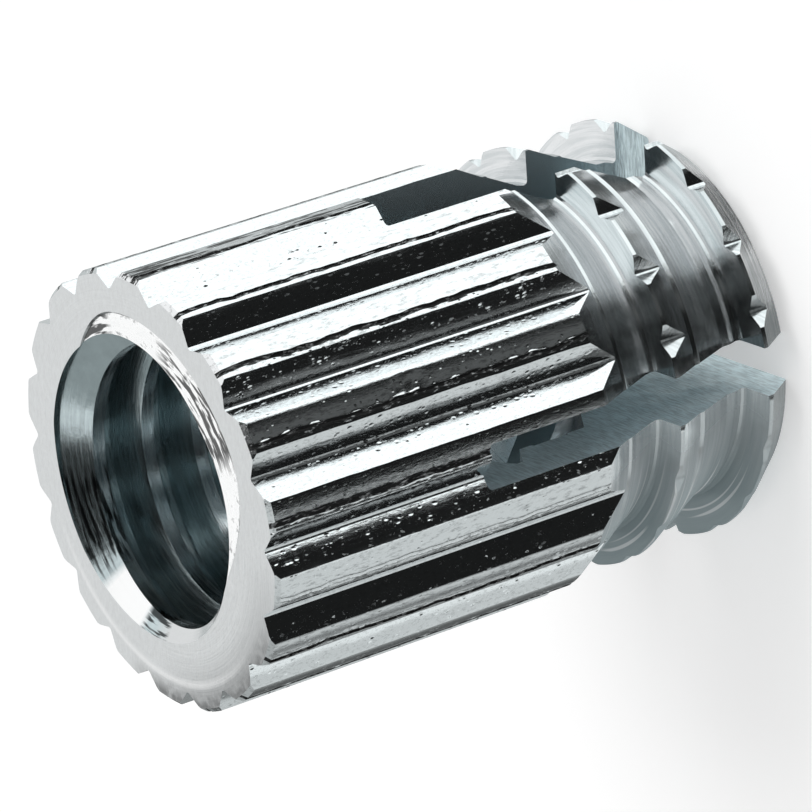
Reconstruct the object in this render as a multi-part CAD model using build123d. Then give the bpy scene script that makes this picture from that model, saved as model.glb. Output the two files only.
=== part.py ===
from build123d import *
import os
from math import asin, cos, degrees, radians, sin, tan

# Expansion sleeve: one turned steel piece with an M6 thread, pressed into a drilled hole of 8 mm.
# Millimetres. +Z is up and is the sleeve's axis. The sleeve stands on its four finger tips, with
# its mouth up. The origin is the centre of that footing, and heights are measured from it.

# Overall sizes
length = 11.0             # from the finger tips to the mouth face
ridge_tip_d = 7.8         # across the tops of the ridges

# Ridges along the outside of the body
ridge_count = 18
ridge_depth = 0.35        # from a ridge's top down to the V grooves beside it
ridge_land = 0.5          # flat top of a ridge, measured across it
flank_bulge = 0.02        # how far a flank's middle stands out from a straight line
ridge_turn = 18.5         # angle from +X to the top of one ridge, in degrees
mouth_edge = 0.08         # chamfer on the ridge ends at the mouth
body_end = 3.55           # height where the ridges have run out
run_out = 0.63            # height of the chamfer that they run out on

# Two barbs under the body, each a square shoulder, a narrow land and a ramp
barb_inset = 0.12         # how far the barbs' edges lie inside the ridge tops
barb_land = 0.08
upper_shoulder = 2.62     # height of the upper barb's shoulder
upper_shoulder_width = 0.62
upper_knee_drop = 0.82    # from that shoulder down to the knee in its ramp
upper_knee_inset = 0.36   # how far the knee lies inside the barb's edge
lower_shoulder = 0.72     # height of the lower barb's shoulder
lower_shoulder_width = 0.73
tip_inset = 0.48          # how far the finger tips lie inside the barb's edge

# Bore for the M6 thread, whose turns are finer than this model and run out at the mouth face
bore_d = 4.9
finger_core = 3.7         # height of the full bore's lower end
drill_point = 118         # included angle of the bore's end, in degrees

# Two crossed saw cuts that leave four fingers. They aren't quite square with each other, and
# one reaches further than the other.
slot_width = 0.87
first_cut_turn = -3.3     # angle from +X to the first cut, in degrees
first_cut_length = 6.15
second_cut_turn = 92
second_cut_length = 6.58


def ridge_outline():
    """Closed outline of the ridged bar: for each ridge a flank, a land and a flank."""
    tip_r = ridge_tip_d / 2
    root_r = tip_r - ridge_depth
    half_pitch = 180 / ridge_count
    half_land = degrees(asin(ridge_land / ridge_tip_d))

    def at(radius, angle):
        return Vector(radius * cos(radians(angle)), radius * sin(radians(angle)))

    def flank(start, end):
        along = (end - start).normalized()
        outward = Vector(along.Y, -along.X)
        return ThreePointArc(start, (start + end) * 0.5 + outward * flank_bulge, end)

    edges = []
    for k in range(ridge_count):
        middle = ridge_turn + 2 * half_pitch * k
        land_start = at(tip_r, middle - half_land)
        land_end = at(tip_r, middle + half_land)
        edges.append(flank(at(root_r, middle - half_pitch), land_start))
        edges.append(ThreePointArc(land_start, at(tip_r, middle), land_end))
        edges.append(flank(land_end, at(root_r, middle + half_pitch)))
    return edges


def ridged_bar():
    return extrude(make_face(ridge_outline()), length)


def outer_profile():
    """Radius and height of the turned outside, from the mouth down to the finger tips."""
    tip_r = ridge_tip_d / 2
    barb_r = tip_r - barb_inset
    return [
        (tip_r - mouth_edge, length),
        (tip_r, length - mouth_edge),
        (tip_r, body_end + run_out),
        (tip_r - ridge_depth, body_end),
        (barb_r - upper_shoulder_width, upper_shoulder),
        (barb_r, upper_shoulder),
        (barb_r, upper_shoulder - barb_land),
        (barb_r - upper_knee_inset, upper_shoulder - upper_knee_drop),
        (barb_r - lower_shoulder_width, lower_shoulder),
        (barb_r, lower_shoulder),
        (barb_r, lower_shoulder - barb_land),
        (barb_r - tip_inset, 0),
    ]


def bore_profile():
    """Radius and height of the bore, from its closed end up to the mouth."""
    bore_r = bore_d / 2
    point = bore_r / tan(radians(drill_point / 2))
    return [
        (0, finger_core - point),
        (bore_r, finger_core),
        (bore_r, length),
    ]


def turned_blank():
    section = [(0, 0)] + bore_profile() + outer_profile()
    outline = Polyline([(radius, 0, height) for radius, height in section], close=True)
    return revolve(make_face(outline), Axis.Z)


def saw_cut(turn, reach):
    """One cut through the axis and across the whole sleeve, up from the finger tips."""
    across = ridge_tip_d + slot_width
    blade = Box(across, slot_width, reach, align=(Align.CENTER, Align.CENTER, Align.MIN))
    return blade.rotate(Axis.Z, turn)


sleeve = ridged_bar() & turned_blank()
sleeve -= saw_cut(first_cut_turn, first_cut_length)
sleeve -= saw_cut(second_cut_turn, second_cut_length)

os.makedirs("parts", exist_ok=True)
export_step(sleeve, "parts/sleeve.step")
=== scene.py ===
"""Expansion sleeve with an M6 thread: the visual model, its studio and its camera."""

from math import cos, pi, radians, sin, tan

import bmesh
import bpy
import numpy as np
from bpy.props import FloatProperty, FloatVectorProperty, IntProperty, PointerProperty
from mathutils import Matrix, Quaternion, Vector, noise


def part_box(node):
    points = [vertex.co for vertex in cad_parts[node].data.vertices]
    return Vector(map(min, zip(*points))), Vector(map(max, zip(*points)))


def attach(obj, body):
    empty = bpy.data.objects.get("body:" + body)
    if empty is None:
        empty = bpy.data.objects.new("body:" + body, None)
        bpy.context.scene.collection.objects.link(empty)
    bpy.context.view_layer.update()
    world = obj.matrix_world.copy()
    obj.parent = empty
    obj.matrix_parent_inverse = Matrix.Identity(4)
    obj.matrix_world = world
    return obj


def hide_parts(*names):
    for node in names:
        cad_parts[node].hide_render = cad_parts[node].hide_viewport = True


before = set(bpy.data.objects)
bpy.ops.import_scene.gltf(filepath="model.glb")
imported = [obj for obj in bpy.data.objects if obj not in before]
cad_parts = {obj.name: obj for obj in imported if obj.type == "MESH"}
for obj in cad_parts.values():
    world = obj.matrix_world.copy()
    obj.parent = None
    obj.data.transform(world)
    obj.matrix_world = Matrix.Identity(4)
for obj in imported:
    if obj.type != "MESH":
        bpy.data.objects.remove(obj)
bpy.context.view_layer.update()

bl_info = {
    "name": "Expansion sleeve",
    "version": (1, 0, 0),
    "blender": (4, 5, 0),
    "location": "3D View > Sidebar > Sleeve",
    "description": "Builds a press-in expansion sleeve with ridges, barbs, a thread and saw cuts",
    "category": "Object",
}

MM = 0.001
NODE = "sleeve"
NODE_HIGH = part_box(NODE)[1]
ROUND = 2 * pi
ENLARGE = 1 / MM  # the cuts are made on a model in millimetres, which is then shrunk
WELD = 1e-4  # in those millimetres
SHARP = radians(14)  # edges that turn further than this stay sharp
FEWEST_FACES = 1000  # a sleeve with fewer was cut to pieces


# ---------------------------------------------------------------- settings


def size(name, description, millimetres):
    return FloatProperty(
        name=name, description=description, default=millimetres * MM, unit="LENGTH", precision=6
    )


def angle(name, description, degrees):
    return FloatProperty(name=name, description=description, default=radians(degrees), unit="ROTATION")


def colour(name, description, rgb):
    return FloatVectorProperty(
        name=name, description=description, default=rgb, subtype="COLOR", size=3, min=0, max=1
    )


class SleeveShape(bpy.types.PropertyGroup):
    """Sizes of the turned, rolled and sawn sleeve."""

    length: size("Length", "From the finger tips to the mouth face", NODE_HIGH.z / MM)
    ridge_tip: size("Ridge tip radius", "From the axis to the tops of the ridges", NODE_HIGH.x / MM)
    ridge_count: IntProperty(name="Ridges", description="Ridges round the body", default=18, min=6)
    ridge_depth: size("Ridge depth", "From a ridge's top down to the grooves beside it", 0.35)
    ridge_land: size("Ridge land", "Width of a ridge's top", 0.53)
    ridge_turn: angle("Ridge turn", "Angle from +X to the top of one ridge", 18.5)
    flank_bulge: size("Flank bulge", "How far a flank's middle stands out from a straight line", 0.008)
    crown: size("Crown", "How far the edges of a land lie below its middle", 0.004)
    edge_round: size("Edge rounding", "Further drop at the very edge of a land", 0.002)
    groove_flat: size("Groove bottom", "Half the width of the groove's rounded bottom", 0.028)
    seam_side: size("Seam", "From a ridge's middle to the seam that rolling left in its top", 0.14)
    seam_depth: size("Seam depth", "Depth of that seam", 0.04)
    seam_width: size("Seam width", "Width of that seam", 0.095)
    edge_wander: size("Edge wander", "How far a seam and a land's edges stray from a straight line", 0.03)
    dent_turn: angle("Dent turn", "Angle from +X to the dent in a ridge", -60.6)
    dent_height: size("Dent height", "Height of that dent", 7.75)
    dent_length: size("Dent length", "Half the length of that dent", 0.42)
    dent_width: size("Dent width", "Half the width of that dent", 0.2)
    dent_depth: size("Dent depth", "Depth of that dent", 0.018)
    mouth_edge: size("Mouth edge", "Chamfer on the ridge ends at the mouth", 0.08)
    body_end: size("Body end", "Height where the ridges have run out", 3.55)
    run_out: size("Run-out", "Height of the chamfer that the ridges run out on", 0.63)
    dish: size("Dish radius", "Radius of the shallow dish that leads into the thread", 3.16)
    dish_depth: size("Dish depth", "Depth of that dish", 0.045)
    dish_middle: angle("Dish middle", "Angle from +X to the middle of the dish", -26)
    dish_half: angle("Dish half", "Half the angle that the dish covers", 92)
    barb_inset: size("Barb inset", "How far the barbs' edges lie inside the ridge tops", 0.12)
    barb_land: size("Barb land", "Straight part behind a barb's edge", 0.08)
    shallow_turn: angle("Shallow side", "Middle of the side where the barbs' notches are shallow", -132)
    shallow_half: angle("Shallow half", "Half the angle of that side", 38)
    shallow_share: FloatProperty(
        name="Shallow share", description="Depth of those notches, of the full depth", default=0.3
    )
    upper_shoulder: size("Upper shoulder", "Height of the upper barb's shoulder", 2.62)
    upper_width: size("Upper shoulder width", "From the neck out to the barb's edge", 0.62)
    knee_drop: size("Knee drop", "From the upper shoulder to the knee in its ramp", 0.82)
    knee_inset: size("Knee inset", "How far the knee lies inside the barb's edge", 0.36)
    lower_shoulder: size("Lower shoulder", "Height of the lower barb's shoulder", 0.72)
    lower_width: size("Lower shoulder width", "From the groove out to the barb's edge", 0.73)
    tip_inset: size("Tip inset", "How far the finger tips lie inside the barb's edge", 0.48)
    tip_round: size("Tip round", "Rounding of the finger tips' outer edge", 0.03)
    tool_round: size("Tool round", "Fillet that the turning tool left under a shoulder", 0.07)
    tool_step: size("Tool step", "Straight step that the turning tool left where two cones meet", 0.065)
    bore: size("Bore radius", "Radius of the bore that the thread is cut in", 2.45)
    bore_end: size("Bore end", "Height of the full bore's lower end", 3.7)
    drill_point: angle("Drill point", "Included angle of the bore's end", 118)
    thread_major: size("Thread radius", "Radius of the thread's groove", 3.0)
    thread_pitch: size("Thread pitch", "Distance between two turns", 1.0)
    thread_end: size("Thread end", "Height where the thread runs out", 4.3)
    thread_turn: angle("Thread turn", "Angle from +X where the thread runs out", -149)
    slot_width: size("Slot width", "Width of the two crossed saw cuts", 0.87)
    first_cut: angle("First cut", "Angle from +X to the first saw cut", -3.3)
    first_length: size("First cut length", "Reach of the first cut from the finger tips", 6.15)
    second_cut: angle("Second cut", "Angle from +X to the second saw cut", 92)
    second_length: size("Second cut length", "Reach of the second cut from the finger tips", 6.58)
    slot_corner: size("Slot corner", "Radius in the corners of a saw cut's end", 0.07)


class SleeveFinish(bpy.types.PropertyGroup):
    """Colours of the sleeve's surfaces."""

    plate: colour("Zinc plate", "Rolled flanks, bright zinc", (0.86, 0.88, 0.89))
    turned: colour("Turned faces", "Faces off the lathe, satin zinc", (0.78, 0.80, 0.81))
    face: colour("Mouth face", "Mouth face, matt zinc", (0.74, 0.76, 0.765))
    # the bore and the thread are one metal: the bore's colour is near white, and the thread's flanks take a
    # darker copy of it as painted shade
    bored: colour("Bore", "Wall of the bore and the thread's crests", (0.93, 0.97, 0.99))
    shaded_thread: colour("Thread", "Flanks of the thread", (0.56, 0.65, 0.67))
    sawn: colour("Saw cuts", "Walls of the saw cuts", (0.78, 0.9, 0.94))


class SleeveStudio(bpy.types.PropertyGroup):
    """Floor, light and camera."""

    floor: colour("Floor", "Colour of the floor", (0.82, 0.82, 0.82))
    floor_glow: FloatProperty(name="Floor glow", description="Floor's own light", default=0.36, min=0)
    world: FloatProperty(name="World", description="Light from all round", default=0.6, min=0)
    lamp: FloatProperty(name="Lamp", description="Soft lamp", default=0.12, min=0, unit="POWER")
    view_turn: angle("View turn", "Camera's turn round the sleeve; 0 looks along +Y", 24.15)
    view_rise: angle("View rise", "Camera's angle above the floor", 29.97)
    view_roll: angle("View roll", "Turn of the camera about its own line of sight", -108.46)
    view_distance: size("View distance", "From the camera to the sleeve", 119.76)
    view_height: size("View height", "Height that the camera looks at", 5.716)
    lens: FloatProperty(name="Lens", description="Focal length", default=307.9, unit="CAMERA")


# ---------------------------------------------------------------- mesh helpers


def mesh_object(name, points, faces, zones=None, enlarge=1):
    """New object of those points and faces. zones holds the material slot of each face."""
    mesh = bpy.data.meshes.new(name)
    mesh.from_pydata([tuple(c * enlarge for c in p) for p in points], [], [tuple(f) for f in faces])
    if zones is not None:
        mesh.polygons.foreach_set("material_index", np.array(zones, np.int32))
    mesh.validate()
    made = bpy.data.objects.new(name, mesh)
    bpy.context.scene.collection.objects.link(made)
    return made


def ring(angles, radius, height):
    """Points at those angles round the axis."""
    heights = np.broadcast_to(height, angles.shape)
    return np.stack((radius * np.cos(angles), radius * np.sin(angles), heights), -1)


def capped_tube(rings):
    """Points and faces of a closed solid through those rings, with a flat cap at each end."""
    columns = len(rings[0])
    faces = []
    for row in range(len(rings) - 1):
        low, high = row * columns, (row + 1) * columns
        for column in range(columns):
            after = (column + 1) % columns
            faces.append((low + column, high + column, high + after, low + after))
    last = (len(rings) - 1) * columns
    faces.append(tuple(range(columns)))
    faces.append(tuple(reversed(range(last, last + columns))))
    return np.concatenate(rings), faces


def weld(target):
    """Joins points that meet, which also drops faces with no area."""
    work = bmesh.new()
    work.from_mesh(target.data)
    bmesh.ops.remove_doubles(work, verts=work.verts, dist=WELD)
    bmesh.ops.recalc_face_normals(work, faces=work.faces)
    work.to_mesh(target.data)
    work.free()


def turn_between(turn, middle):
    """Angle from middle to turn, the short way round."""
    return (turn - middle + pi) % ROUND - pi


# ---------------------------------------------------------------- ridges

# Places of a ridge's columns, from one groove to the next: shares of a flank out from the
# groove's bottom, and shares of the land's half width from its middle.
GROOVE_SHARES = (0.0, 0.04, 0.085)
FLANK_SHARES = (0.16, 0.28, 0.42, 0.56, 0.7, 0.84, 0.94)
LAND_SHARES = (-1.0, -0.93, -0.86, -0.2, 0.1, 0.4, 0.75, 0.88, 0.94, 1.0)
LAND_EDGE = 0.86  # share of the land's half width where its edge starts to round
GROOVE_FILL = 0.8  # how high a groove's bottom is filled, as a share of its half width

# Places across the seam, in seam widths from its middle, with its depth there. A low lip stands
# on each side of it.
SEAM_PLACES = (-1.5, -1.0, -0.6, 0.0, 0.6, 1.0, 1.5)
SEAM_DEPTHS = (0.0, -0.22, 0.7, 1.0, 0.7, -0.22, 0.0)
SEAM_CLEAR = 1.8  # seam widths that plain columns of the land keep away from it
SEAM_STRAY = 1.5  # how much further a seam strays than an edge
SEAM_MEAN, SEAM_SWING = 0.9, 0.45  # the seam's depth along a ridge, as shares of its full depth
LIP_MEAN, LIP_SWING = 0.35, 2.2  # the height of its lips, in the same way
LIP_WAVES = 5  # in a millimetre of a lip
SEAM_LEAST, SEAM_MOST = 0.15, 1.1  # shares that both stay between
PLAIN_RIDGE = 12  # the one ridge whose seam is all but closed

WAVES = 1.1  # slow strays in a millimetre of an edge
RIPPLES = 3.9  # fine strays in a millimetre of an edge
RIPPLE_SHARE = 0.6  # size of the fine strays beside the slow ones
FLANK_STRAY = 0.3  # share of an edge's strays that its flank follows
CRUMPLE = 1.2  # how uneven the dent is


def ridge_columns(shape):
    """(kind, ridge, side, share) of every column round the body, in order of angle."""
    columns = []
    seam = -shape.seam_side / (shape.ridge_land / 2)
    width = shape.seam_width / shape.ridge_land
    for ridge in range(shape.ridge_count):
        for share in GROOVE_SHARES + FLANK_SHARES:
            columns.append(("flank", ridge, -1, share))
        land = [("land", share) for share in LAND_SHARES if abs(share - seam) > width * SEAM_CLEAR]
        land += [("lip" if abs(place) > 1 else "seam", seam + place * width) for place in SEAM_PLACES]
        for kind, share in sorted(land, key=lambda column: column[1]):
            columns.append((kind, ridge, 1 if share > 0 else -1, share))
        for share in reversed((GROOVE_SHARES + FLANK_SHARES)[1:]):
            columns.append(("flank", ridge, 1, share))
    return columns


def wander(ridge, side, height):
    """Strays between about -1 and 1, slowly and with a finer part, along one edge."""
    if height is None:
        return 0
    along = height / MM
    edge = 7.3 * ridge + 3.1 * side  # keeps the edges' strays apart
    slow = noise.noise(Vector((edge, along * WAVES, 0)))
    return slow + RIPPLE_SHARE * noise.noise(Vector((edge, along * RIPPLES, 5)))


def land_radius(shape, share):
    """Radius of a ridge's top at that share of its half width."""
    edge = max(0, abs(share) - LAND_EDGE) / (1 - LAND_EDGE)
    return shape.ridge_tip - shape.crown * share * share - shape.edge_round * edge * edge


def dented(shape, radius, turn, height):
    """Radius of a point after the dent has been knocked into its ridge."""
    if height is None:
        return radius
    across = turn_between(turn, shape.dent_turn) * shape.ridge_tip / shape.dent_width
    along = (height - shape.dent_height) / shape.dent_length
    away = across * across + along * along
    if away >= 1:
        return radius
    uneven = 1 + CRUMPLE * wander(3, 9, height * 4 + turn * 0.02)
    return radius - shape.dent_depth * (1 - away) * uneven


def flank_place(shape, side, share, half):
    """(x, y) on one flank of a ridge that points along +X, whose land is twice half wide."""
    half_pitch = pi / shape.ridge_count
    edge_radius = land_radius(shape, 1)
    root_radius = shape.ridge_tip - shape.ridge_depth
    edge = np.array((cos(half / edge_radius), side * sin(half / edge_radius))) * edge_radius
    root = np.array((cos(half_pitch), side * sin(half_pitch))) * root_radius
    chord = edge - root
    outward = np.array((chord[1], -chord[0])) * -side / np.linalg.norm(chord)
    if outward[0] < 0:
        outward = -outward
    place = root + chord * share + outward * (4 * shape.flank_bulge * share * (1 - share))
    if share <= GROOVE_SHARES[-1]:
        rise = shape.groove_flat * (1 - share / GROOVE_SHARES[-1])
        place = place * (1 + GROOVE_FILL * rise / root_radius)
    return place


def seam_drop(shape, ridge, place, height):
    """How far the seam or its lip lies below the land, that many seam widths from its middle."""
    deep = SEAM_MEAN + SEAM_SWING * wander(ridge, 4, height)
    if ridge == PLAIN_RIDGE:
        deep = SEAM_LEAST
    elif abs(place) >= 1 and height is not None:
        deep = LIP_MEAN + LIP_SWING * noise.noise(Vector((ridge, height / MM * LIP_WAVES, 2 + place)))
    section = float(np.interp(place, SEAM_PLACES, SEAM_DEPTHS))
    return shape.seam_depth * section * max(SEAM_LEAST, min(SEAM_MOST, deep))


def ridge_point(shape, column, height=None):
    """(x, y) of a column on the full ridge. With no height, the ridge has no wander."""
    kind, ridge, side, share = column
    middle = shape.ridge_turn + ROUND / shape.ridge_count * ridge
    half = shape.ridge_land / 2 + FLANK_STRAY * shape.edge_wander * wander(ridge, side, height)
    if kind == "flank":
        x, y = flank_place(shape, side, share, half)
        return x * cos(middle) - y * sin(middle), x * sin(middle) + y * cos(middle)
    radius = land_radius(shape, share)
    across = share * half
    if kind in ("seam", "lip"):
        seam = -shape.seam_side / (shape.ridge_land / 2)
        place = (share - seam) / (shape.seam_width / shape.ridge_land)
        radius -= seam_drop(shape, ridge, place, height)
        stray = SEAM_STRAY * shape.edge_wander * wander(ridge, 2, height)
        across = share * shape.ridge_land / 2 + stray
    turn = middle + across / shape.ridge_tip
    radius = dented(shape, radius, turn, height)
    return radius * cos(turn), radius * sin(turn)


# ---------------------------------------------------------------- blank

BORE_SPARE = 0.1 * MM  # how far the blank's mouth and the thread's cutter reach into the bore
DISH_FADE = radians(56)  # angle over which the dish runs out at each end
# Each ring of the dish: share of the way out to its edge, and share of its depth.
DISH_RINGS = ((0, 1), (0.35, 1), (0.7, 0.85), (0.9, 0.7), (0.955, 0.95), (1, 0))
MOUTH_RINGS = 4
TOP_RINGS = len(DISH_RINGS) + MOUTH_RINGS - 1
BODY_ROWS = 102  # rows of faces down the ridges
FLANK, TURNED, LAND, SEAM, FACE, DISH, RIM = range(7)  # slots of BLANK_METALS


def mouth_rings(shape, angles, radii):
    """Rings from inside the bore out over the dish and the mouth's face."""
    mouth_radii = np.minimum(radii, shape.ridge_tip - shape.mouth_edge)
    inner = shape.bore - BORE_SPARE
    # the dish is full over most of the way round and fades out where the thread starts lower down
    away = np.abs(turn_between(angles, shape.dish_middle))
    full = np.clip((shape.dish_half - away) / DISH_FADE, 0, 1)
    full = full * full * (3 - 2 * full)
    dish = shape.bore + (shape.dish - shape.bore) * full
    rings = []
    for share, depth in DISH_RINGS:
        height = shape.length - shape.dish_depth * depth * full
        rings.append(ring(angles, inner + (dish - inner) * share, height))
    for k in range(1, MOUTH_RINGS + 1):
        rings.append(ring(angles, dish + (mouth_radii - dish) * k / MOUTH_RINGS, shape.length))
    return rings


def run_out_height(shape, radii):
    """Height where a ridge of that radius meets the chamfer that it runs out on."""
    root = shape.ridge_tip - shape.ridge_depth
    return shape.body_end + (radii - root) * shape.run_out / shape.ridge_depth


def ridge_rings(shape, columns, radii):
    """Rings down the ridges, from the chamfer at the mouth to where they run out."""
    top = shape.length - np.maximum(radii - (shape.ridge_tip - shape.mouth_edge), 0)
    bottom = run_out_height(shape, radii)
    rings = []
    for k in range(BODY_ROWS + 1):
        heights = top + (bottom - top) * k / BODY_ROWS
        points = [(*ridge_point(shape, column, height), height) for column, height in zip(columns, heights)]
        rings.append(np.array(points))
    return rings


def straight(start, end, steps):
    """Even steps from start to end, without start itself."""
    (height, radius), (end_height, end_radius) = start, end
    return [
        (height + (end_height - height) * k / steps, radius + (end_radius - radius) * k / steps)
        for k in range(1, steps + 1)
    ]


def outline_rows(shape, radius, turn):
    """Turned outline of one column: (height, radius) pairs down from the ridge's lower end."""
    root = shape.ridge_tip - shape.ridge_depth
    barb = shape.ridge_tip - shape.barb_inset
    away = abs(turn_between(turn, shape.shallow_turn))
    deep = shape.shallow_share if away < shape.shallow_half else 1
    edge = barb - deep * (barb - min(radius, barb))
    neck = barb - shape.upper_width
    groove = barb - shape.lower_width
    knee = barb - shape.knee_inset
    tip = barb - shape.tip_inset
    knee_height = shape.upper_shoulder - shape.knee_drop
    upper_land = shape.upper_shoulder - shape.barb_land
    lower_land = shape.lower_shoulder - shape.barb_land
    upper_slope = (upper_land - knee_height) / (barb - knee)
    lower_slope = lower_land / (barb - tip)
    fillet = shape.tool_round
    step = shape.tool_step
    # Each corner: its (height, radius), and the steps that lead to it.
    corners = [
        ((run_out_height(shape, radius), radius), 1),
        ((shape.body_end, root), 3),
        # the step that the tool left at the body's end
        ((shape.body_end - step, root - 0.02 * step), 1),
        ((shape.body_end - 1.7 * step, root - 0.6 * step), 1),
        # the neck, with the fillet at the upper shoulder
        ((shape.upper_shoulder + 3 * fillet, neck + 0.5 * fillet), 3),
        ((shape.upper_shoulder + fillet, neck), 1),
        ((shape.upper_shoulder + 0.3 * fillet, neck + 0.3 * fillet), 1),
        ((shape.upper_shoulder, neck + fillet), 1),
        # the upper barb, its ramp and the step at the knee
        ((shape.upper_shoulder, edge), 3),
        ((upper_land - (barb - edge) * upper_slope, edge), 1),
        ((knee_height + 3 * step, knee + 1.2 * step), 3),
        ((knee_height + 1.5 * step, knee + 1.1 * step), 1),
        ((knee_height + step, knee + 0.6 * step), 1),
        # the groove, with the fillet at the lower shoulder
        ((shape.lower_shoulder + 6 * fillet, groove + fillet), 4),
        ((shape.lower_shoulder + 3.5 * fillet, groove + 0.9 * fillet), 1),
        ((shape.lower_shoulder + fillet, groove), 1),
        ((shape.lower_shoulder + 0.3 * fillet, groove + 0.3 * fillet), 1),
        ((shape.lower_shoulder, groove + fillet), 1),
        # the lower barb, and its ramp down to the finger tip's rounded edge
        ((shape.lower_shoulder, edge), 3),
        ((lower_land - (barb - edge) * lower_slope, edge), 1),
        ((shape.tip_round, tip + shape.tip_round), 4),
        ((0, tip - shape.tip_round * 2 / 3), 1),
    ]
    rows = []
    for (start, _), (end, steps) in zip(corners, corners[1:]):
        rows += straight(start, end, steps)
    return rows


def barb_rings(shape, angles, radii):
    """Rings down the neck and the barbs to the finger tips."""
    outlines = np.array([outline_rows(shape, radius, turn) for radius, turn in zip(radii, angles)])
    return [ring(angles, row[:, 1], row[:, 0]) for row in outlines.swapaxes(0, 1)]


def zone_of_face(columns, face):
    """Material slot of one face of the blank."""
    row, column = divmod(face, len(columns))
    if row < len(DISH_RINGS) - 2:
        return DISH
    if row == len(DISH_RINGS) - 2:
        return RIM
    if row < TOP_RINGS:
        return FACE
    if row > TOP_RINGS + BODY_ROWS:
        return TURNED
    here, after = columns[column], columns[(column + 1) % len(columns)]
    if here[0] == after[0] == "seam" and here[1] != PLAIN_RIDGE:
        return SEAM
    if here[0] != "flank" and after[0] != "flank":
        return LAND
    return FLANK


def body_solid(shape):
    """The ridged body, neck and barbs as one closed solid, with no bore and no cuts."""
    columns = ridge_columns(shape)
    nominal = np.array([ridge_point(shape, column) for column in columns])
    angles = np.arctan2(nominal[:, 1], nominal[:, 0])
    radii = np.hypot(nominal[:, 0], nominal[:, 1])
    rings = mouth_rings(shape, angles, radii)
    rings += ridge_rings(shape, columns, radii)
    rings += barb_rings(shape, angles, radii)
    points, faces = capped_tube(rings)
    zones = [zone_of_face(columns, face) for face in range(len(faces))]
    body = mesh_object("turned_sleeve", points, faces, zones, ENLARGE)
    weld(body)
    return body


# ---------------------------------------------------------------- cutters

BORE_SIDES = 288
BORE_ABOVE = 0.3 * MM  # how far the bore's cutter stands out of the mouth
DRILL_TIP = 0.02 * MM
THREAD_STEPS = 120  # in one turn
THREAD_LEAN = radians(30)  # of a flank of the thread
THREAD_FADE = 0.6  # turns over which the thread deepens from nothing
THREAD_ABOVE = 0.6  # turns that the cutter goes on for above the mouth
SAW_SPARE = 1 * MM  # how far a saw's cutter stands out of the sleeve
CORNER_STEPS = 4


def new_cutter(name, points, faces):
    """A closed solid to take away from the blank."""
    cutter = mesh_object(name, points, faces, enlarge=ENLARGE)
    weld(cutter)
    return cutter


def bore_cutter(shape):
    """Plain bore with its drilled end, carried on above the mouth."""
    point = shape.bore / tan(shape.drill_point / 2)
    profile = (
        (DRILL_TIP, shape.bore_end - point),
        (shape.bore, shape.bore_end),
        (shape.bore, shape.length + BORE_ABOVE),
    )
    turns = np.arange(BORE_SIDES) * ROUND / BORE_SIDES
    return new_cutter("bore_cutter", *capped_tube([ring(turns, *place) for place in profile]))


def thread_cutter(shape):
    """One groove of 60 degrees that winds up the bore and out of the mouth."""
    pitch = shape.thread_pitch
    flat = pitch / 16  # half the width of the groove's bottom
    inner = shape.bore - BORE_SPARE
    spread = flat + (shape.thread_major - inner) * tan(THREAD_LEAN)
    turns = (shape.length + pitch * THREAD_ABOVE - shape.thread_end) / pitch
    count = int(turns * THREAD_STEPS)
    points = []
    for k in range(count + 1):
        turn = shape.thread_turn + k * ROUND / THREAD_STEPS
        height = shape.thread_end + k * pitch / THREAD_STEPS
        fade = min(1, k / (THREAD_STEPS * THREAD_FADE))
        outer = inner + (shape.thread_major - inner) * fade
        half = flat + (spread - flat) * (1 - fade)
        for radius, rise in ((inner, -spread), (outer, -half), (outer, half), (inner, spread)):
            points.append((radius * cos(turn), radius * sin(turn), height + rise))
    faces = [(3, 2, 1, 0), tuple(4 * count + k for k in range(4))]
    for k in range(count):
        for side in range(4):
            after = (side + 1) % 4
            faces.append((4 * k + side, 4 * k + after, 4 * k + 4 + after, 4 * k + 4 + side))
    return new_cutter("thread_cutter", points, faces)


def saw_cutter(shape, name, turn, length):
    """One saw cut across the whole sleeve, with rounded corners at its end."""
    half = shape.slot_width / 2
    corner = shape.slot_corner
    reach = shape.ridge_tip + SAW_SPARE
    section = [(-half, -SAW_SPARE), (half, -SAW_SPARE)]
    for middle, quarter in ((half - corner, 0), (corner - half, 1)):
        for k in range(CORNER_STEPS + 1):
            lean = pi / 2 * (quarter + k / CORNER_STEPS)
            section.append((middle + corner * cos(lean), length - corner + corner * sin(lean)))
    points = []
    for along in (-reach, reach):
        for across, height in section:
            x = along * cos(turn) - across * sin(turn)
            y = along * sin(turn) + across * cos(turn)
            points.append((x, y, height))
    count = len(section)
    faces = [tuple(range(count)), tuple(reversed(range(count, 2 * count)))]
    for k in range(count):
        after = (k + 1) % count
        faces.append((k, k + count, after + count, after))
    return new_cutter(name, points, faces)


def cut_away(target, cutters):
    """Takes each cutter from target in turn, keeps its material there and removes the cutter."""
    for cutter in cutters:
        change = target.modifiers.new(cutter.name, "BOOLEAN")
        change.operation = "DIFFERENCE"
        change.solver = "MANIFOLD"
        change.material_mode = "TRANSFER"
        change.object = cutter
        bpy.context.view_layer.update()
        seen = target.evaluated_get(bpy.context.evaluated_depsgraph_get())
        result = bpy.data.meshes.new_from_object(seen)
        target.modifiers.clear()
        target.data = result
        bpy.data.objects.remove(cutter)


# ---------------------------------------------------------------- materials

WHITE = (1, 1, 1)
FRESH_CUT_AND_HIGHLIGHT = (0.97, 0.98, 0.98)  # newly cut zinc, and the painted highlight on the bore's lip
SLATE = (0.27, 0.335, 0.35)  # grey-blue of the painted shade on one side of the lower finger
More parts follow.
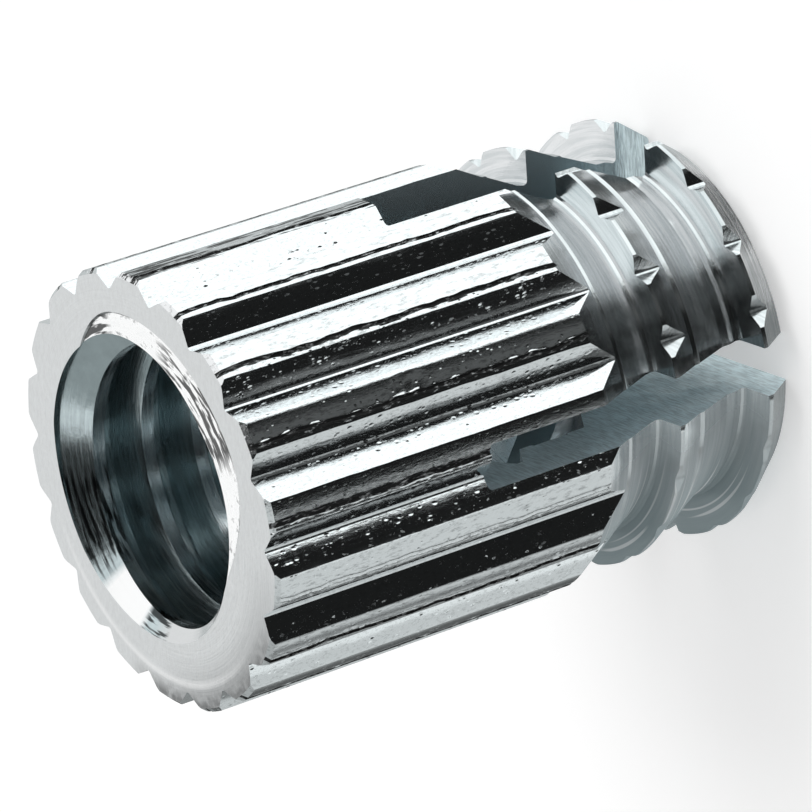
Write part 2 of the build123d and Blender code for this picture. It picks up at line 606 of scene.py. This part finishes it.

# Sides that a mark keeps to: degrees from +X, half its spread in degrees, and the share of that
# spread where it starts to fade.
CALM_FLANKS = (-145, 55, 0.7)
CALM_LANDS = (-150, 45, 0.7)
DARK_STREAK_SIDE = (-1.5, 7, 0.6)
# painted shade: the side of the lower finger that turns slate
SHADED_FINGER_SIDE = (-150, 56, 0.3)
# painted shade toward the bottom of the mouth face
SHADED_FACE_SIDE = (-140, 46, 0.2)
# painted shade, mottled, at the outer edge of the face's bottom
SHADED_EDGE_SIDE = (-156, 44, 0.7)
# a ring on one side of the face that is tinted toward white
WHITER_RING_SIDE = (170, 60, 0.5)
SCORED_DISH = ((-42, 28, 0.7), (27, 14, 0.7))
# painted shade on the step round the dish fades out on this side
FADED_RIM_SHADE = (-20, 60, 0.7)
# painted shade on one side of the bore's lip
SHADED_LIP_SIDE = (205, 34, 0.7)
# painted highlight on one side of the bore's lip
LIT_LIP_SIDE = (152, 14, 0.7)
SCORED_LIP = ((118, 22, 0.7), (172, 9, 0.7))

# Radii or heights between which a mark comes in or goes out, in mm.
SHADED_FACE_RADII = (2.9, 3.5)
SHADED_EDGE_RADII = (3.45, 3.75)
WHITER_RING_INNER = (3.3, 3.42)
WHITER_RING_OUTER = (3.42, 3.5)
LIP_HEIGHTS = (10.1, 10.3)
SHADED_HEIGHTS = (1.1, 1.5)

# Inputs and output of a Mix node's colours.
MIX_FACTOR, MIX_FIRST, MIX_SECOND, MIX_RESULT = 0, 6, 7, 2


def new_material(name):
    material = bpy.data.materials.new(name)
    material.use_nodes = True
    return material


def darker(rgb, share):
    return tuple(share * part for part in rgb)


class Surface:
    """A metal's node tree, with the few kinds of texture that the sleeve's surfaces share."""

    def __init__(self, name, metallic=1.0):
        self.material = new_material(name)
        self.nodes = self.material.node_tree.nodes
        self.links = self.material.node_tree.links
        self.shader = self.nodes["Principled BSDF"]
        self.shader.inputs["Metallic"].default_value = metallic
        place = self.nodes.new("ShaderNodeTexCoord")
        self.place = self.scaled(place.outputs["Object"], 1 / MM)
        parts = self.nodes.new("ShaderNodeSeparateXYZ")
        self.links.new(self.place, parts.inputs[0])
        self.height = parts.outputs["Z"]
        flat = self.vector("MULTIPLY", self.place, (1, 1, 0))["Vector"]
        self.outward = self.vector("NORMALIZE", flat)["Vector"]
        self.radius = self.vector("LENGTH", flat)["Value"]
        self.normal = None
        self.tone = None

    def vector(self, operation, first, second=None):
        """Outputs of a calculation on one vector, or on that and a fixed one."""
        made = self.nodes.new("ShaderNodeVectorMath")
        made.operation = operation
        self.links.new(first, made.inputs[0])
        if second is not None:
            made.inputs[1].default_value = second
        return made.outputs

    def math(self, operation, first, second):
        """A calculation on two values, each a number or an output."""
        made = self.nodes.new("ShaderNodeMath")
        made.operation = operation
        for socket, value in zip(made.inputs, (first, second)):
            if isinstance(value, (int, float)):
                socket.default_value = value
            else:
                self.links.new(value, socket)
        return made.outputs["Value"]

    def product(self, first, second):
        return self.math("MULTIPLY", first, second)

    def larger(self, first, second):
        return self.math("MAXIMUM", first, second)

    def between(self, value, low, high, out_low=0, out_high=1):
        """out_low where value is at low, out_high where it is at high, and held past them."""
        made = self.nodes.new("ShaderNodeMapRange")
        made.inputs["From Min"].default_value = low
        made.inputs["From Max"].default_value = high
        made.inputs["To Min"].default_value = out_low
        made.inputs["To Max"].default_value = out_high
        self.links.new(value, made.inputs["Value"])
        return made.outputs["Result"]

    def scaled(self, vector, x, y=None, z=None):
        """Coordinates that run that many times as fast, alike in all directions if only x is given."""
        scale = self.nodes.new("ShaderNodeMapping")
        scale.inputs["Scale"].default_value = (x, x if y is None else y, x if z is None else z)
        self.links.new(vector, scale.inputs["Vector"])
        return scale.outputs["Vector"]

    def rings(self, coarse, lean):
        """Coordinates that change quickly along and out from the axis and slowly round it."""
        parts = self.nodes.new("ShaderNodeSeparateXYZ")
        self.links.new(self.outward, parts.inputs[0])
        along = self.math("ADD", self.product(self.radius, coarse), self.product(self.height, coarse))
        both = self.nodes.new("ShaderNodeCombineXYZ")
        self.links.new(along, both.inputs["X"])
        self.links.new(self.product(parts.outputs["X"], lean), both.inputs["Y"])
        self.links.new(self.product(parts.outputs["Y"], lean), both.inputs["Z"])
        return both.outputs["Vector"]

    def noise(self, vector, detail=2, rough=0.5, bent=0):
        """Soft noise from 0 to 1, with features about one unit across."""
        made = self.nodes.new("ShaderNodeTexNoise")
        made.inputs["Scale"].default_value = 1
        made.inputs["Detail"].default_value = detail
        made.inputs["Roughness"].default_value = rough
        made.inputs["Distortion"].default_value = bent
        self.links.new(vector, made.inputs["Vector"])
        return made.outputs["Fac"]

    def pits(self, vector, radius):
        """1 in the middle of scattered pits, 0 outside them."""
        made = self.nodes.new("ShaderNodeTexVoronoi")
        made.inputs["Scale"].default_value = 1
        self.links.new(vector, made.inputs["Vector"])
        return self.between(made.outputs["Distance"], 0, radius, 1, 0)

    def side(self, degrees, half, inner):
        """1 toward that angle from +X, fading from inner of half to 0 at half degrees each way."""
        toward = (cos(radians(degrees)), sin(radians(degrees)), 0)
        along = self.vector("DOT_PRODUCT", self.outward, toward)["Value"]
        return self.between(along, cos(radians(half)), cos(radians(half * inner)))

    def blend(self, factor, second):
        """Mixes the colour so far with a second one, and returns the node."""
        made = self.nodes.new("ShaderNodeMix")
        made.data_type = "RGBA"
        self.links.new(factor, made.inputs[MIX_FACTOR])
        made.inputs[MIX_SECOND].default_value = (*second, 1)
        self.tone = made.outputs[MIX_RESULT]
        self.links.new(self.tone, self.shader.inputs["Base Color"])
        return made

    def colour(self, factor, dark, light):
        """Lays on the first colour: dark where factor is 0 and light where it is 1."""
        self.blend(factor, light).inputs[MIX_FIRST].default_value = (*dark, 1)

    def tint(self, mask, rgb):
        """Changes the colour to that one where the mask is 1."""
        before = self.tone
        self.links.new(before, self.blend(mask, rgb).inputs[MIX_FIRST])

    def rough(self, value):
        self.links.new(value, self.shader.inputs["Roughness"])

    def bump(self, height, depth_mm):
        """Adds relief of that depth where height goes from 0 to 1, on any relief already there."""
        made = self.nodes.new("ShaderNodeBump")
        made.inputs["Strength"].default_value = 1
        made.inputs["Distance"].default_value = depth_mm * MM
        self.links.new(height, made.inputs["Height"])
        if self.normal is not None:
            self.links.new(self.normal, made.inputs["Normal"])
        self.normal = made.outputs["Normal"]
        self.links.new(self.normal, self.shader.inputs["Normal"])


def zinc_plate(finish):
    """Rolled flanks: bright, with drawn marks along the sleeve, soft hollows and small pits."""
    metal = Surface("zinc_plate")
    drawn = metal.noise(metal.scaled(metal.place, 22, 22, 1.6), detail=3, rough=0.6)
    hollows = metal.noise(metal.scaled(metal.place, 3.2, 3.2, 2.2))
    grain = metal.noise(metal.scaled(metal.place, 26, 26, 13), rough=0.6)
    scattered = metal.between(metal.noise(metal.scaled(metal.place, 2.4, 2.4, 3.1)), 0.42, 0.62)
    pits = metal.product(metal.pits(metal.scaled(metal.place, 7.5, 7.5, 5.5), 0.3), scattered)
    specks = metal.noise(metal.scaled(metal.place, 15, 15, 8), rough=0.6)
    matt_specks = metal.between(specks, 0.63, 0.68, 0, 0.32)
    calm = metal.between(metal.side(*CALM_FLANKS), 0, 1, 1, 0.12)
    metal.colour(metal.between(grain, 0.3, 0.5), darker(finish.plate, 0.8), finish.plate)
    metal.rough(metal.larger(metal.between(drawn, 0.3, 0.75, 0.05, 0.13), matt_specks))
    metal.bump(metal.product(hollows, calm), 0.0006)
    metal.bump(metal.product(drawn, calm), 0.0004)
    metal.bump(pits, -0.006)
    metal.bump(metal.product(grain, calm), 0.0005)
    return metal.material


def rubbed_land(finish):
    """Tops of the ridges: rolled flat, with scuffs across and along them and dark streaks along one ridge.
    """
    metal = Surface("rubbed_land")
    scuffs = metal.noise(metal.scaled(metal.place, 15, 15, 5), detail=4, rough=0.65)
    grain = metal.noise(metal.scaled(metal.place, 34, 34, 22))
    hollows = metal.noise(metal.scaled(metal.place, 2.6, 2.6, 1.7))
    pits = metal.pits(metal.scaled(metal.place, 9, 9, 6), 0.24)
    streaks = metal.noise(metal.scaled(metal.place, 13, 13, 1.3), detail=3, rough=0.6)
    dark_streaks = metal.product(metal.between(streaks, 0.45, 0.52, 1, 0), metal.side(*DARK_STREAK_SIDE))
    calm = metal.between(metal.side(*CALM_LANDS), 0, 1, 1, 0.3)
    metal.colour(metal.between(scuffs, 0.32, 0.48), darker(finish.plate, 0.66), finish.plate)
    metal.tint(dark_streaks, darker(finish.plate, 0.06))
    metal.rough(metal.between(scuffs, 0.3, 0.7, 0.2, 0.08))
    metal.bump(metal.product(hollows, calm), 0.001)
    metal.bump(metal.product(scuffs, calm), 0.002)
    metal.bump(metal.product(grain, calm), 0.0008)
    metal.bump(pits, -0.004)
    return metal.material


def shaded_seam(finish):
    """Seam that rolling left in a ridge's top: painted shade makes it nearly black, with lighter specks."""
    metal = Surface("shaded_seam", metallic=0.8)
    specks = metal.noise(metal.scaled(metal.place, 18, 18, 7), detail=3, rough=0.6)
    bright = metal.between(specks, 0.54, 0.7)
    # painted shade: the seam nearly black, with lighter specks
    metal.colour(bright, darker(finish.plate, 0.04), darker(finish.plate, 0.7))
    metal.rough(metal.between(specks, 0.4, 0.7, 0.6, 0.3))
    metal.bump(specks, 0.02)
    return metal.material


def turned_zinc(finish):
    """Neck and barbs: satin zinc over the marks of the turning tool, with painted shade in slate, nearly
    without metal, on one side of the lower finger.
    """
    metal = Surface("turned_zinc")
    coarse = metal.noise(metal.rings(9, 1.6), detail=3, rough=0.6)
    fine = metal.noise(metal.rings(32, 3))
    patches = metal.noise(metal.scaled(metal.place, 2.2), detail=3, rough=0.6)
    grain = metal.noise(metal.scaled(metal.place, 20), rough=0.6)
    arcs = metal.between(metal.noise(metal.rings(13, 0.9), detail=1), 0.64, 0.7, 0, 0.7)
    # painted shade: on this side the finger turns slate and nearly stops being metal, with thin arcs of the
    # plain colour left in it
    finger_shade = metal.side(*SHADED_FINGER_SIDE)
    marks = metal.between(coarse, 0.36, 0.6, 0.7, 1)
    metal.colour(metal.product(metal.between(finger_shade, 0, 1, 1, 0.15), marks), SLATE, finish.turned)
    metal.tint(metal.product(arcs, finger_shade), finish.turned)
    metal.links.new(metal.between(finger_shade, 0, 1, 1, 0.12), metal.shader.inputs["Metallic"])
    metal.shader.inputs["Specular IOR Level"].default_value = 0
    metal.rough(metal.between(patches, 0.35, 0.65, 0.13, 0.24))
    metal.bump(coarse, 0.003)
    metal.bump(fine, 0.0008)
    metal.bump(grain, 0.0012)
    return metal.material


def mouth_zinc(finish):
    """Mouth face: faced off on the lathe, matt, with rings, a whiter ring on one side, and painted shade
    toward its bottom, mottled at the outer edge.
    """
    metal = Surface("mouth_zinc")
    coarse = metal.noise(metal.rings(7, 1.1), detail=3, rough=0.6)
    fine = metal.noise(metal.rings(30, 2.2))
    marks = metal.noise(metal.scaled(metal.place, 5, 9, 5), detail=4, rough=0.7)
    # painted shade: the face darker toward its bottom, between these radii
    face_shade = metal.product(metal.side(*SHADED_FACE_SIDE), metal.between(metal.radius, *SHADED_FACE_RADII))
    # painted shade: mottled and dark along the outer edge at the face's bottom
    edge_mottle = metal.between(metal.noise(metal.scaled(metal.place, 5), detail=3), 0.35, 0.55, 0.5, 1)
    edge_shade = metal.product(metal.side(*SHADED_EDGE_SIDE), metal.between(metal.radius, *SHADED_EDGE_RADII))
    # a ring on one side of the face, tinted half way to white
    whiter_ring = metal.product(metal.side(*WHITER_RING_SIDE), metal.between(metal.radius, *WHITER_RING_INNER))
    whiter_ring = metal.product(whiter_ring, metal.between(metal.radius, *WHITER_RING_OUTER, 1, 0))
    metal.colour(metal.between(marks, 0.36, 0.62), darker(finish.face, 0.88), finish.face)
    metal.tint(face_shade, darker(finish.face, 0.66))
    metal.tint(metal.product(edge_mottle, edge_shade), darker(finish.face, 0.3))
    metal.tint(metal.product(whiter_ring, 0.5), WHITE)
    metal.rough(metal.between(marks, 0.35, 0.65, 0.3, 0.42))
    metal.bump(coarse, 0.006)
    metal.bump(fine, 0.003)
    metal.bump(marks, 0.008)
    return metal.material


def dish_zinc(finish):
    """Dish round the thread's mouth: freshly cut, brighter than the face, scored in two places."""
    metal = Surface("dish_zinc")
    coarse = metal.noise(metal.rings(12, 1.4), detail=3, rough=0.6)
    marks = metal.noise(metal.rings(5, 9), detail=3, rough=0.65)
    scores = metal.between(metal.noise(metal.rings(9, 4), rough=0.6), 0.46, 0.53, 1, 0)
    scored = metal.larger(*[metal.side(*place) for place in SCORED_DISH])
    metal.colour(metal.between(marks, 0.3, 0.42), darker(finish.face, 0.5), FRESH_CUT_AND_HIGHLIGHT)
    metal.tint(metal.product(scored, scores), darker(finish.face, 0.12))
    metal.rough(metal.between(marks, 0.35, 0.65, 0.2, 0.3))
    metal.bump(coarse, 0.004)
    metal.bump(marks, 0.008)
    return metal.material


def rim_zinc(finish):
    """Narrow step round the dish, darkened by painted shade, broken here and there and faint on one side.
    """
    metal = Surface("rim_zinc", metallic=0.9)
    broken = metal.noise(metal.rings(2, 7), detail=3, rough=0.6)
    faded_shade = metal.between(metal.side(*FADED_RIM_SHADE), 0, 1, 0.75, 0)
    shown = metal.larger(metal.between(broken, 0.4, 0.6), faded_shade)
    # painted shade along the step, broken by noise and fading on one side
    metal.colour(shown, darker(finish.face, 0.14), darker(finish.face, 0.95))
    metal.rough(metal.between(broken, 0.4, 0.6, 0.5, 0.3))
    metal.bump(broken, 0.01)
    return metal.material


def bored_steel(finish, name, colour):
    """Bore or thread: fine marks round it, and a scored lip at the mouth with painted shade on one side and
    a painted highlight on another.
    """
    metal = Surface(name)
    fine = metal.noise(metal.rings(16, 2), detail=3, rough=0.6)
    patches = metal.noise(metal.scaled(metal.place, 3), detail=3, rough=0.6)
    lip = metal.between(metal.height, *LIP_HEIGHTS)
    scores = metal.between(metal.noise(metal.rings(9, 3), rough=0.6), 0.44, 0.52, 1, 0)
    scored = metal.product(lip, metal.larger(*[metal.side(*place) for place in SCORED_LIP]))
    metal.colour(metal.between(patches, 0.35, 0.65), darker(colour, 0.9), colour)
    # painted shade: one side of the lip greyer
    metal.tint(metal.product(lip, metal.side(*SHADED_LIP_SIDE)), darker(finish.face, 0.9))
    # painted highlight: a near-white patch on one side of the lip
    metal.tint(metal.product(lip, metal.side(*LIT_LIP_SIDE)), FRESH_CUT_AND_HIGHLIGHT)
    metal.tint(metal.product(scored, scores), darker(colour, 0.1))
    metal.rough(metal.between(fine, 0.35, 0.65, 0.12, 0.24))
    metal.bump(fine, 0.003)
    metal.bump(patches, 0.003)
    return metal.material


def sawn_steel(finish, name, roughness, hatch_mm, shaded):
    """Walls of a saw cut, with the hatch of the blade's teeth, and with or without painted shade above the
    tips.
    """
    metal = Surface(name, metallic=0.8)
    hatch = metal.noise(metal.scaled(metal.place, 3, 3, 24), rough=0.6, bent=0.4)
    patches = metal.noise(metal.scaled(metal.place, 2.5), detail=3, rough=0.6)
    metal.colour(metal.between(hatch, 0.36, 0.62), darker(finish.sawn, 0.7), finish.sawn)
    if shaded:
        # painted shade: the wall darker above the tips
        metal.tint(metal.between(metal.height, *SHADED_HEIGHTS), darker(finish.sawn, 0.5))
    metal.rough(metal.between(patches, 0.35, 0.65, roughness, 1.4 * roughness))
    metal.bump(hatch, hatch_mm)
    return metal.material


# ---------------------------------------------------------------- operators

# The blank's metals, in the order of its material slots.
BLANK_METALS = (zinc_plate, turned_zinc, rubbed_land, shaded_seam, mouth_zinc, dish_zinc, rim_zinc)
# How each saw's walls look: roughness, depth of the hatch in mm, and painted shade above the tips or none.
FIRST_SAW = (0.13, 0.003, True)
SECOND_SAW = (0.38, 0.008, False)


class SLEEVE_OT_body(bpy.types.Operator):
    """Build the sleeve from its blank, its bore, its thread and its saw cuts"""

    bl_idname = "sleeve.body"
    bl_label = "Sleeve"

    def execute(self, context):
        shape = context.scene.sleeve_shape
        finish = context.scene.sleeve_finish
        body = body_solid(shape)
        for metal in BLANK_METALS:
            body.data.materials.append(metal(finish))
        bore = bore_cutter(shape)
        thread = thread_cutter(shape)
        first = saw_cutter(shape, "first_saw_cutter", shape.first_cut, shape.first_length)
        second = saw_cutter(shape, "second_saw_cutter", shape.second_cut, shape.second_length)
        bore.data.materials.append(bored_steel(finish, "bored_steel", finish.bored))
        # painted shade: the thread's flanks get the darker copy of the bore's colour
        thread.data.materials.append(bored_steel(finish, "shaded_thread_steel", finish.shaded_thread))
        first.data.materials.append(sawn_steel(finish, "first_sawn_steel", *FIRST_SAW))
        second.data.materials.append(sawn_steel(finish, "second_sawn_steel", *SECOND_SAW))
        cut_away(body, (bore, thread, first, second))
        body.data.transform(Matrix.Scale(MM, 4))
        if len(body.data.polygons) < FEWEST_FACES:
            raise RuntimeError("the sleeve's cuts left too little of it")
        body.data.polygons.foreach_set("use_smooth", [True] * len(body.data.polygons))
        body.data.set_sharp_from_angle(angle=SHARP)
        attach(body, "root")
        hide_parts(NODE)
        return {"FINISHED"}


SENSOR = 36
NEAREST, FURTHEST = 0.01, 2  # what the camera sees, in metres
FLOOR_HALF = 0.4
LAMP_SIZE = 0.1
LAMP_PLACE = (0.1, 0.02, 0.16)


def aim_camera(studio):
    """Camera that looks down at the sleeve and is rolled, so that the sleeve lies in its view."""
    data = bpy.data.cameras.new("camera")
    data.lens = studio.lens
    data.sensor_width = SENSOR
    data.clip_start = NEAREST
    data.clip_end = FURTHEST
    camera = bpy.data.objects.new("camera", data)
    bpy.context.scene.collection.objects.link(camera)
    turn, rise = studio.view_turn, studio.view_rise
    back = Vector((sin(turn) * cos(rise), -cos(turn) * cos(rise), sin(rise)))
    camera.location = Vector((0, 0, studio.view_height)) + back * studio.view_distance
    level = (-back).to_track_quat("-Z", "Y")
    camera.rotation_mode = "QUATERNION"
    camera.rotation_quaternion = level @ Quaternion((0, 0, 1), studio.view_roll)
    bpy.context.scene.camera = camera


def lay_floor(studio):
    """Pale floor that takes the sleeve's shadow."""
    corners = [(x * FLOOR_HALF, y * FLOOR_HALF, 0) for x, y in ((-1, -1), (1, -1), (1, 1), (-1, 1))]
    floor = mesh_object("floor", corners, [(0, 1, 2, 3)])
    material = new_material("pale_floor")
    shader = material.node_tree.nodes["Principled BSDF"]
    shader.inputs["Base Color"].default_value = (*studio.floor, 1)
    shader.inputs["Roughness"].default_value = 0.9
    shader.inputs["Specular IOR Level"].default_value = 0
    shader.inputs["Emission Color"].default_value = (*WHITE, 1)
    shader.inputs["Emission Strength"].default_value = studio.floor_glow
    floor.data.materials.append(material)
    floor.visible_glossy = False


# Cards that the bright metal mirrors: name, first and last angle from the camera's side, lowest
# and highest slope seen from the sleeve, and brightness.
CARDS = (
    ("white_card", 27, 122, -48, 20, 1.3),
    ("side_card", 122, 176, -48, 10, 0.62),
    ("black_card", -31, 3, -48, 66, 0.012),
    ("slate_card", 3, 14, -48, 66, 0.1),
    ("black_card_c", 14, 27, -48, 66, 0.012),
    ("pale_card_a", -34.5, -31, -48, 0, 0.5),
    ("black_card_a", -47, -34.5, -48, 0, 0.012),
    ("teal_card_a", -50.5, -47, -48, 0, 0.15),
    ("pale_card_b", -57.5, -50.5, -48, 0, 0.9),
    ("pale_card_f", -63.5, -57.5, -48, 0, 0.62),
    ("pale_card_c", -85, -63.5, -48, 0, 0.66),
    ("dark_card_b", -91.5, -85, -48, 0, 0.09),
    ("grey_card_a", -97, -91.5, -48, 0, 0.25),
    ("pale_card_d", -107.5, -97, -48, 0, 0.6),
    ("dark_card_c", -113, -107.5, -48, 0, 0.1),
    ("pale_card_e", -122.5, -113, -48, 0, 0.6),
    ("dark_card_d", -125.5, -122.5, -48, 0, 0.09),
    ("grey_card_b", -144.5, -125.5, -48, 0, 0.28),
    ("slate_card_b", -157, -144.5, -48, 0, 0.1),
    ("teal_card_b", -163.5, -157, -48, 0, 0.3),
    ("black_card_b", -184, -163.5, -48, 0, 0.012),
    ("upper_pale_card", -88, -29, 0, 66, 0.6),
    ("upper_teal_card", -170, -88, 0, 60, 0.42),
    ("low_light_card", 50, 128, -67, -48, 0.85),
    ("low_grey_card", 60, 128, -74, -67, 0.3),
    ("low_side_card", 128, 158, -74, -48, 0.08),
    ("low_black_card", -95, 50, -74, -48, 0.012),
    ("low_teal_card", -142, -95, -58, -48, 0.42),
    ("low_pale_card", -142, -95, -74, -58, 0.95),
    ("low_back_card", -170, -142, -74, -48, 0.3),
    ("under_card", -150, 150, -90, -74, 0.02),
    ("under_back_card", 150, 210, -90, -74, 0.2),
    ("overhead_card", -180, 180, 70, 90, 0.03),
)
CARD_DISTANCE = 0.25
CARD_STEP = radians(6)
CARD_COLOUR = (0.95, 1, 1)


def card_mesh(studio, first, last, low, high):
    """Points and faces of a card on a globe round the sleeve, between those angles."""
    facing = studio.view_turn - pi / 2
    middle = Vector((0, 0, studio.view_height))
    across = max(1, round(radians(last - first) / CARD_STEP))
    up = max(1, round(radians(high - low) / CARD_STEP))
    points = []
    for k in range(across + 1):
        turn = facing + radians(first + (last - first) * k / across)
        for j in range(up + 1):
            slope = radians(low + (high - low) * j / up)
            out = Vector((cos(turn) * cos(slope), sin(turn) * cos(slope), sin(slope)))
            points.append(middle + out * CARD_DISTANCE)
    row = up + 1
    faces = []
    for k in range(across):
        for corner in range(k * row, k * row + up):
            faces.append((corner, corner + row, corner + row + 1, corner + 1))
    return points, faces


def glowing(name, brightness):
    """Material that only shines."""
    material = new_material(name)
    nodes, links = material.node_tree.nodes, material.node_tree.links
    nodes.remove(nodes["Principled BSDF"])
    glow = nodes.new("ShaderNodeEmission")
    glow.inputs["Color"].default_value = (*CARD_COLOUR, 1)
    glow.inputs["Strength"].default_value = brightness
    links.new(glow.outputs[0], nodes["Material Output"].inputs["Surface"])
    return material


def stand_cards(studio):
    """Curved cards round the sleeve, which only its mirrored light sees."""
    for name, first, last, low, high, brightness in CARDS:
        card = mesh_object(name, *card_mesh(studio, first, last, low, high))
        card.data.materials.append(glowing(name, brightness))
        card.visible_camera = False
        card.visible_diffuse = False
        card.visible_shadow = False
        card.visible_transmission = False


def light_world(studio):
    """White where it is seen or mirrored, and a plainer light on what it lights."""
    world = bpy.data.worlds.new("studio")
    bpy.context.scene.world = world
    world.use_nodes = True
    nodes, links = world.node_tree.nodes, world.node_tree.links
    path = nodes.new("ShaderNodeLightPath")
    seen = path.outputs["Is Camera Ray"]
    for ray in ("Is Glossy Ray", "Is Transmission Ray"):
        either = nodes.new("ShaderNodeMath")
        either.operation = "MAXIMUM"
        links.new(seen, either.inputs[0])
        links.new(path.outputs[ray], either.inputs[1])
        seen = either.outputs[0]
    plain = nodes["Background"]
    plain.inputs["Color"].default_value = (*WHITE, 1)
    plain.inputs["Strength"].default_value = studio.world
    white = nodes.new("ShaderNodeBackground")
    white.inputs["Color"].default_value = (*WHITE, 1)
    white.inputs["Strength"].default_value = 1
    mix = nodes.new("ShaderNodeMixShader")
    links.new(seen, mix.inputs[0])
    links.new(plain.outputs[0], mix.inputs[1])
    links.new(white.outputs[0], mix.inputs[2])
    links.new(mix.outputs[0], nodes["World Output"].inputs["Surface"])


def hang_lamp(studio):
    """One soft lamp, high on the side of the first saw cut."""
    data = bpy.data.lights.new("soft_lamp", "AREA")
    data.energy = studio.lamp
    data.size = LAMP_SIZE
    lamp = bpy.data.objects.new("soft_lamp", data)
    bpy.context.scene.collection.objects.link(lamp)
    lamp.location = LAMP_PLACE
    lamp.rotation_mode = "QUATERNION"
    lamp.rotation_quaternion = lamp.location.to_track_quat("Z", "Y")
    lamp.visible_glossy = False


class SLEEVE_OT_studio(bpy.types.Operator):
    """Lay the floor, light the sleeve and aim the camera"""

    bl_idname = "sleeve.studio"
    bl_label = "Studio"

    def execute(self, context):
        studio = context.scene.sleeve_studio
        lay_floor(studio)
        stand_cards(studio)
        light_world(studio)
        hang_lamp(studio)
        aim_camera(studio)
        context.scene.view_settings.view_transform = "Standard"
        return {"FINISHED"}


class SLEEVE_PT_panel(bpy.types.Panel):
    """Lists the sleeve's operators and settings"""

    bl_idname = "SLEEVE_PT_panel"
    bl_label = "Expansion sleeve"
    bl_space_type = "VIEW_3D"
    bl_region_type = "UI"
    bl_category = "Sleeve"

    def draw(self, context):
        layout = self.layout
        for group, operator in (
            ("sleeve_shape", "sleeve.body"),
            ("sleeve_finish", None),
            ("sleeve_studio", "sleeve.studio"),
        ):
            settings = getattr(context.scene, group)
            for name in settings.bl_rna.properties.keys():
                if name not in ("name", "rna_type"):
                    layout.prop(settings, name)
            if operator:
                layout.operator(operator)


CLASSES = (
    SleeveShape,
    SleeveFinish,
    SleeveStudio,
    SLEEVE_OT_body,
    SLEEVE_OT_studio,
    SLEEVE_PT_panel,
)


def register():
    for cls in CLASSES:
        bpy.utils.register_class(cls)
    bpy.types.Scene.sleeve_shape = PointerProperty(type=SleeveShape)
    bpy.types.Scene.sleeve_finish = PointerProperty(type=SleeveFinish)
    bpy.types.Scene.sleeve_studio = PointerProperty(type=SleeveStudio)


def unregister():
    del bpy.types.Scene.sleeve_studio
    del bpy.types.Scene.sleeve_finish
    del bpy.types.Scene.sleeve_shape
    for cls in reversed(CLASSES):
        bpy.utils.unregister_class(cls)


def main():
    """Builds the sleeve and its studio."""
    register()
    bpy.ops.sleeve.body()
    bpy.ops.sleeve.studio()


if __name__ == "__main__":
    main()
